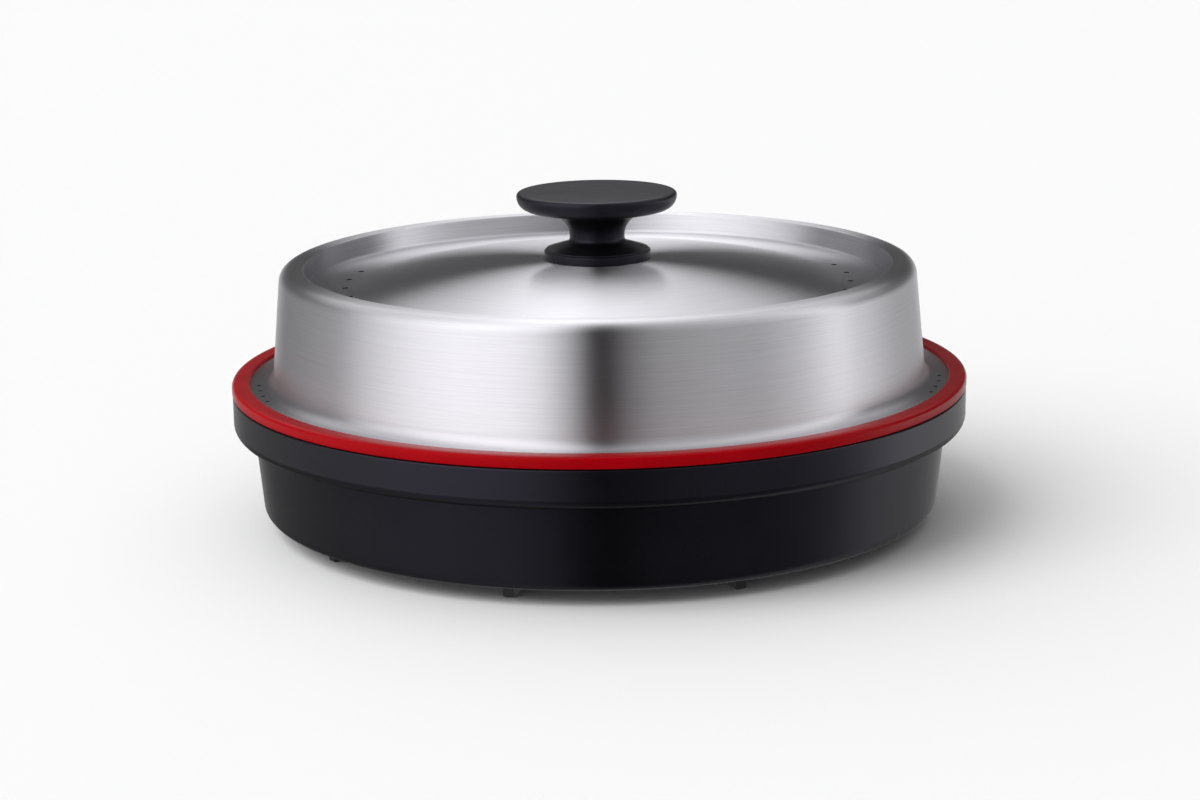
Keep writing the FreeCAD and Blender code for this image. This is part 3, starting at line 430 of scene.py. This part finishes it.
streak = add(tree, "ShaderNodeTexNoise", {"Scale": 1.0, "Detail": 5.0, "Roughness": 0.75},
             {"Vector": spot.outputs["Vector"]})
relief = add(tree, "ShaderNodeBump", {"Distance": LINE_RELIEF_MM * MM},
             {"Height": streak.outputs["Fac"]})
around = add(tree, "ShaderNodeTangent", direction_type="RADIAL", axis="Z")
tree.links.new(between(tree, streak.outputs["Fac"], ("#c8c7cc", "#dcdbe0")),
               shader.inputs["Base Color"])
tree.links.new(ranged(tree, streak.outputs["Fac"], 0.30, 0.36), shader.inputs["Roughness"])
tree.links.new(relief.outputs["Normal"], shader.inputs["Normal"])
tree.links.new(around.outputs["Tangent"], shader.inputs["Tangent"])
placed(lid, brushed, "lid", "lid_shell")

# The vents' walls get a flat dark grey that is not metal. This is painted shade, so that they read as
# dark dots instead of catching bright reflections.
painted_shade = surface("stainless steel, torn edge", ("#1c1c1e", "#29292b"), (0.6, 0.75), 3, 0.4, 0.01)
lid.data.materials.append(painted_shade)
for polygon in lid.data.polygons:
    middle = polygon.center / MM
    beside = min(math.hypot(middle.x - x, middle.y - y) for x, y in top_vents + flange_vents)
    upright = abs(polygon.normal.z) < 0.5
    # upright faces round a vent take the painted shade
    if beside < TOP_VENT and upright:
        polygon.material_index = 1

# ---------------------------------------------------------------------------------------------
# Lid seal. A ring of food-grade silicone, moulded in one and stretched over the flange, which
# sits in its groove. Its foot closes on the band.
SEAL_IN = 142.8
GROOVE_SLIP = 0.05
SEAL_SLOPE = 2.6        # width of the slope from the crown down to the outer face
SEAL_FALL = 0.2         # drop of that slope
FOOT_CURVES = (0.3, 0.9)        # roundings, from the inside outwards
CROWN_CURVES = (1.6, 2.2, 0.7)  # roundings, from the outside inwards

seal_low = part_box("lid_gasket")[0][2] / MM
seal_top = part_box("lid_gasket")[1][2] / MM
seal_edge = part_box("lid_gasket")[1][0] / MM
groove_deep = flange_edge + GROOVE_SLIP
groove_top = flange_top + GROOVE_SLIP
groove_low = flange_low - GROOVE_SLIP
seal = spun("lid_seal", softened([
    (SEAL_IN, seal_low, FOOT_CURVES[0]), (seal_edge, seal_low, FOOT_CURVES[1]),
    (seal_edge, seal_top - SEAL_FALL, CROWN_CURVES[0]),
    (seal_edge - SEAL_SLOPE, seal_top, CROWN_CURVES[1]), (SEAL_IN, seal_top, CROWN_CURVES[2]),
    (SEAL_IN, groove_top, 0), (groove_deep, groove_top, 0), (groove_deep, groove_low, 0),
    (SEAL_IN, groove_low, 0)]))

# Silicone from a polished mould: saturated red that seems to glow a little from inside, under a
# soft, slightly broken highlight.
silicone = surface("red silicone, satin", ("#8f0009", "#99000c"), (0.18, 0.23), 30, 1.5, 0.004,
                   Specular_IOR_Level=0.12, Specular_Tint=tint("#ff9f94"))
placed(seal, silicone, "lid", "lid_gasket")

# ---------------------------------------------------------------------------------------------
# Knob. A collar and the knob above it, compression moulded in black phenolic and clamped to the
# lid by a screw from below, into a brass insert.
SHOULDER = 20.9         # radius of the knob's foot on the collar
SHOULDER_RISE = 0.5
SHOULDER_CURVE = 0.3
WAIST = 11.15
WAIST_RISE = 3.44       # heights above the collar
WAIST_CURVE = 2.2
NECK_DROP = 10.4        # heights below the top
NECK_CURVE = 9.4
RIM_DROP = 6.3
RIM_CURVE = 5.6
TOP_CURVE = 1.6
INSERT_HOLE = 4.02
INSERT_DEEP = 11.42
STUD_HOLE = 2.7
COLLAR_CURVE = 0.6
collar_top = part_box("knob_collar")[1][2] / MM
collar_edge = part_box("knob_collar")[1][0] / MM
knob_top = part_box("knob")[1][2] / MM
knob_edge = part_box("knob")[1][0] / MM

# Phenolic from a vapour-blasted mould: soft matt black, a shade lighter where it faces the light.
phenolic = surface("black phenolic, blasted", ("#070708", "#0b0b0d"), (0.34, 0.42), 8, 0.5, 0.006,
                   Specular_IOR_Level=0.34, Specular_Tint=COOL_SHEEN)

collar = spun("collar", softened([
    (STUD_HOLE, hub, 0), (collar_edge, hub, COLLAR_CURVE), (collar_edge, collar_top, COLLAR_CURVE),
    (STUD_HOLE, collar_top, 0)]))
placed(collar, phenolic, "lid", "knob_collar")

knob = spun("knob_body", softened([
    (INSERT_HOLE, collar_top, 0), (SHOULDER, collar_top, 0),
    (SHOULDER, collar_top + SHOULDER_RISE, SHOULDER_CURVE),
    (WAIST, collar_top + WAIST_RISE, WAIST_CURVE), (WAIST, knob_top - NECK_DROP, NECK_CURVE),
    (knob_edge, knob_top - RIM_DROP, RIM_CURVE), (knob_edge, knob_top, TOP_CURVE), (0, knob_top, 0),
    (0, collar_top + INSERT_DEEP, 0), (INSERT_HOLE, collar_top + INSERT_DEEP, 0)]))
placed(knob, phenolic, "lid", "knob")

# Turned brass insert, knurled and moulded in, with its cut face left bright.
brass = surface("brass, turned", ("#a98748", "#c4a35f"), (0.24, 0.34), 4, 0.4, 0.004, Metallic=1.0)
coat(brass, "knob_insert")
coat(zinc_plate, "lid_screw", "lid_washer")

# ---------------------------------------------------------------------------------------------
# Studio: a pale floor under an even white light. Polished and brushed faces see a softer set-up:
# a large soft box front left, a smaller one at the right, a dark gap between them in front, a dim
# strip low at the back and a bright ceiling behind.
FLOOR_SIZE = 12.0
FLOOR_PAPER = "#f4f4f4"
WHITE_LIGHT = 0.75
LEFT_SHARE = 0.9        # how much brighter than that the white light is at the far left
SET_LIGHT = 1.07
# direction from the front towards the right, in degrees, and brightness there
WALLS = ((-180, 0.85), (-167, 0.78), (-157, 0.50), (-146, 0.32), (-126, 0.50), (-105, 0.80),
         (-85, 1.12), (-74, 1.42), (-64, 1.64), (-50, 1.75), (-32, 1.65), (-21, 1.37), (-10, 0.65),
         (-3, 0.0), (3, 0.0), (10, 0.22), (21, 0.45), (43, 0.57), (58, 0.56), (74, 0.78), (85, 1.15),
         (95, 1.75), (106, 1.85), (116, 1.30), (126, 0.92), (137, 0.70), (152, 0.55), (167, 0.85),
         (180, 0.85))
# sideways place of a direction, from -1 at the far left, and the brightness there of the low strip
# at the back and of the ceiling
BACK_STRIP = ((-1.0, 0.18), (-0.6, 0.12), (0.0, 0.07), (0.6, 0.09), (1.0, 0.11))
CEILING = ((-0.5, 0.75), (-0.25, 1.2), (-0.1, 2.0), (0.0, 2.3), (0.12, 1.65), (0.3, 0.8), (0.5, 0.65))
# where one part passes into the next, by how far a direction points up, or back
BELOW_FADE = (-0.4, -0.12)
BELOW_SHARE = 0.3       # what is left of the walls' light down there
HORIZON_FADE = (-0.02, 0.08)
CEILING_FADE = (0.33, 0.6)
BACK_FADE = (-0.1, 0.3)
SUN_LIGHT = 1.4
SUN_WIDTH = math.radians(50)
SUN_WAY = Vector((0.8, 0.5, -1.0))


def levels(tree, factor, low, high, stops):
    """A grey level that follows (place, level) stops while a factor runs from low to high."""
    spread = add(tree, "ShaderNodeMapRange", {"From Min": low, "From Max": high}, {"Value": factor})
    node = add(tree, "ShaderNodeValToRGB", links={"Fac": spread.outputs["Result"]})
    elements = node.color_ramp.elements
    elements.remove(elements[1])
    for index, (place, level) in enumerate(stops):
        position = (place - low) / (high - low)
        element = elements.new(position) if index else elements[0]
        element.position = position
        element.color = (level, level, level, 1.0)
    return node.outputs["Color"]


def fade(tree, factor, edges, values=None, links=None):
    """A smooth step between two edges of a factor, from 0 to 1 unless other ends are given."""
    node = add(tree, "ShaderNodeMapRange",
               {"From Min": edges[0], "From Max": edges[1], **(values or {})},
               {"Value": factor, **(links or {})}, interpolation_type="SMOOTHSTEP")
    return node.outputs["Result"]


bpy.ops.mesh.primitive_plane_add(size=FLOOR_SIZE)
floor = bpy.context.object
floor.name = "floor"
floor.visible_glossy = False
paper, tree, shader = material("white paper", FLOOR_PAPER,
                               {"Base Color": tint(FLOOR_PAPER), "Roughness": 0.9})
floor.data.materials.append(paper)

world = bpy.data.worlds.new("studio")
bpy.context.scene.world = world
world.use_nodes = True
tree = world.node_tree
tree.nodes.clear()
place = add(tree, "ShaderNodeTexCoord").outputs["Generated"]
way = add(tree, "ShaderNodeSeparateXYZ", links={"Vector": place})
sideways, backwards, upwards = way.outputs["X"], way.outputs["Y"], way.outputs["Z"]

# What glossy rays see: the walls all round, and behind them the strip and the ceiling.
front = add(tree, "ShaderNodeMath", {1: -1.0}, {0: backwards}, operation="MULTIPLY")
turn = add(tree, "ShaderNodeMath", links={0: sideways, 1: front.outputs["Value"]},
           operation="ARCTAN2")
walls = levels(tree, turn.outputs["Value"], -math.pi, math.pi,
               [(math.radians(degrees), level) for degrees, level in WALLS])
below = fade(tree, upwards, BELOW_FADE, {"To Min": BELOW_SHARE})
lowered = add(tree, "ShaderNodeMath", links={0: walls, 1: below}, operation="MULTIPLY")
strip = levels(tree, sideways, -1.0, 1.0, BACK_STRIP)
overhead = levels(tree, sideways, -1.0, 1.0, CEILING)
back = fade(tree, upwards, CEILING_FADE, links={"To Min": strip, "To Max": overhead})
back_share = add(tree, "ShaderNodeMath", operation="MULTIPLY", links={
    0: fade(tree, backwards, BACK_FADE), 1: fade(tree, upwards, HORIZON_FADE)})
room = add(tree, "ShaderNodeMix", links={
    "Factor": back_share.outputs["Value"], "A": lowered.outputs["Value"], "B": back})
studio = add(tree, "ShaderNodeBackground", {"Strength": SET_LIGHT},
             {"Color": room.outputs["Result"]})

# What lights the rest, and the plain white that shows behind the object.
slant = add(tree, "ShaderNodeMapRange", {
    "From Min": -1.0, "To Min": WHITE_LIGHT * (1 + LEFT_SHARE),
    "To Max": WHITE_LIGHT * (1 - LEFT_SHARE)}, {"Value": sideways})
soft = add(tree, "ShaderNodeBackground", {"Color": (1.0, 1.0, 1.0, 1.0)},
           {"Strength": slant.outputs["Result"]})
bright = add(tree, "ShaderNodeBackground", {"Color": (1.0, 1.0, 1.0, 1.0)})
seen = add(tree, "ShaderNodeLightPath")
plain = add(tree, "ShaderNodeMixShader", links={
    0: seen.outputs["Is Camera Ray"], 1: soft.outputs["Background"], 2: bright.outputs["Background"]})
both = add(tree, "ShaderNodeMixShader", links={
    0: seen.outputs["Is Glossy Ray"], 1: plain.outputs["Shader"], 2: studio.outputs["Background"]})
add(tree, "ShaderNodeOutputWorld", links={"Surface": both.outputs["Shader"]})

light = bpy.data.lights.new("soft_sun", "SUN")
light.energy = SUN_LIGHT
light.angle = SUN_WIDTH
soft_sun = bpy.data.objects.new("soft_sun", light)
soft_sun.rotation_euler = SUN_WAY.to_track_quat("-Z", "Y").to_euler()
soft_sun.visible_glossy = False
bpy.context.scene.collection.objects.link(soft_sun)

CAMERA_DISTANCE = 1.124
CAMERA_LENS = 81.7
CAMERA_RISE = math.radians(13.09)
CAMERA_TILT = math.radians(0.83)
AIM = Vector((0.0002, 0.0, 0.0467))
lens = bpy.data.cameras.new("camera")
lens.sensor_width = 36
lens.lens = CAMERA_LENS
camera = bpy.data.objects.new("camera", lens)
sight = Vector((0, math.cos(CAMERA_RISE), -math.sin(CAMERA_RISE)))
camera.location = AIM - sight * CAMERA_DISTANCE
tilted = sight.to_track_quat("-Z", "Y").to_matrix() @ Matrix.Rotation(-CAMERA_TILT, 3, "Z")
camera.rotation_euler = tilted.to_euler()
bpy.context.scene.collection.objects.link(camera)
bpy.context.scene.camera = camera
bpy.context.scene.view_settings.view_transform = "Standard"
